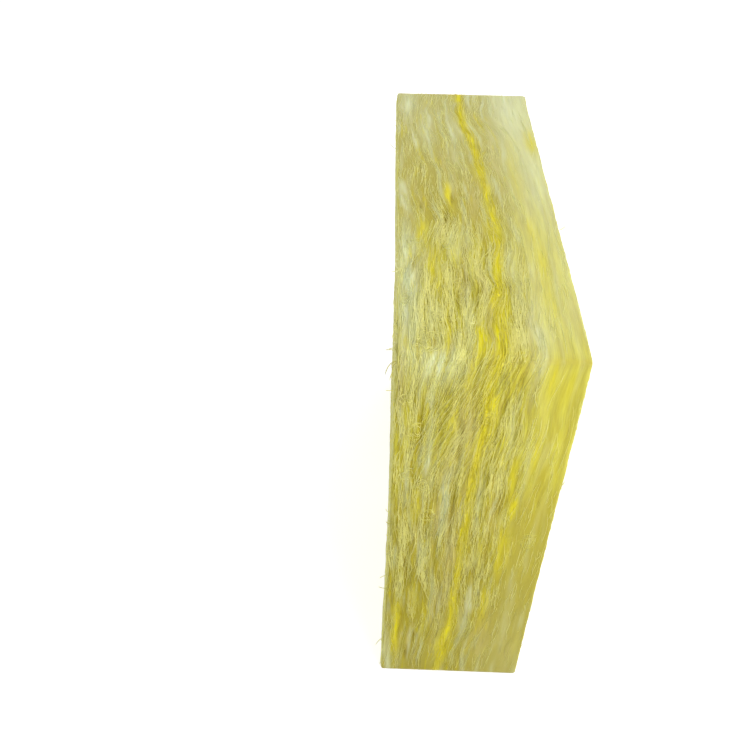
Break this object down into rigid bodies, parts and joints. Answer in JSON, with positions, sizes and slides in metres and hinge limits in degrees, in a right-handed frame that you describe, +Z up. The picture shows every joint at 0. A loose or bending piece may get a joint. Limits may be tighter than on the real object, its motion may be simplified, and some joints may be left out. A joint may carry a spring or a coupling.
{
  "type": "glass wool insulation slab",
  "caption": "Right-angled slab of yellow glass wool blanket with layered cut edges and soft corners, for filling a wall or roof cavity.",
  "frame": {"origin": "middle of the cut edge that the slab stands on, at floor level", "axes": "+X across the laid layers, through the thickness; +Y from the near cut edge to the far one; +Z up"},
  "size_m": [0.05, 0.16, 0.155],
  "materials": {
    "glass_wool": "matt, loose yellow glass fibre with a hardened binder"
  },
  "bodies": {
    "root": {"wool_slab": "glass_wool"}
  },
  "joints": []
}
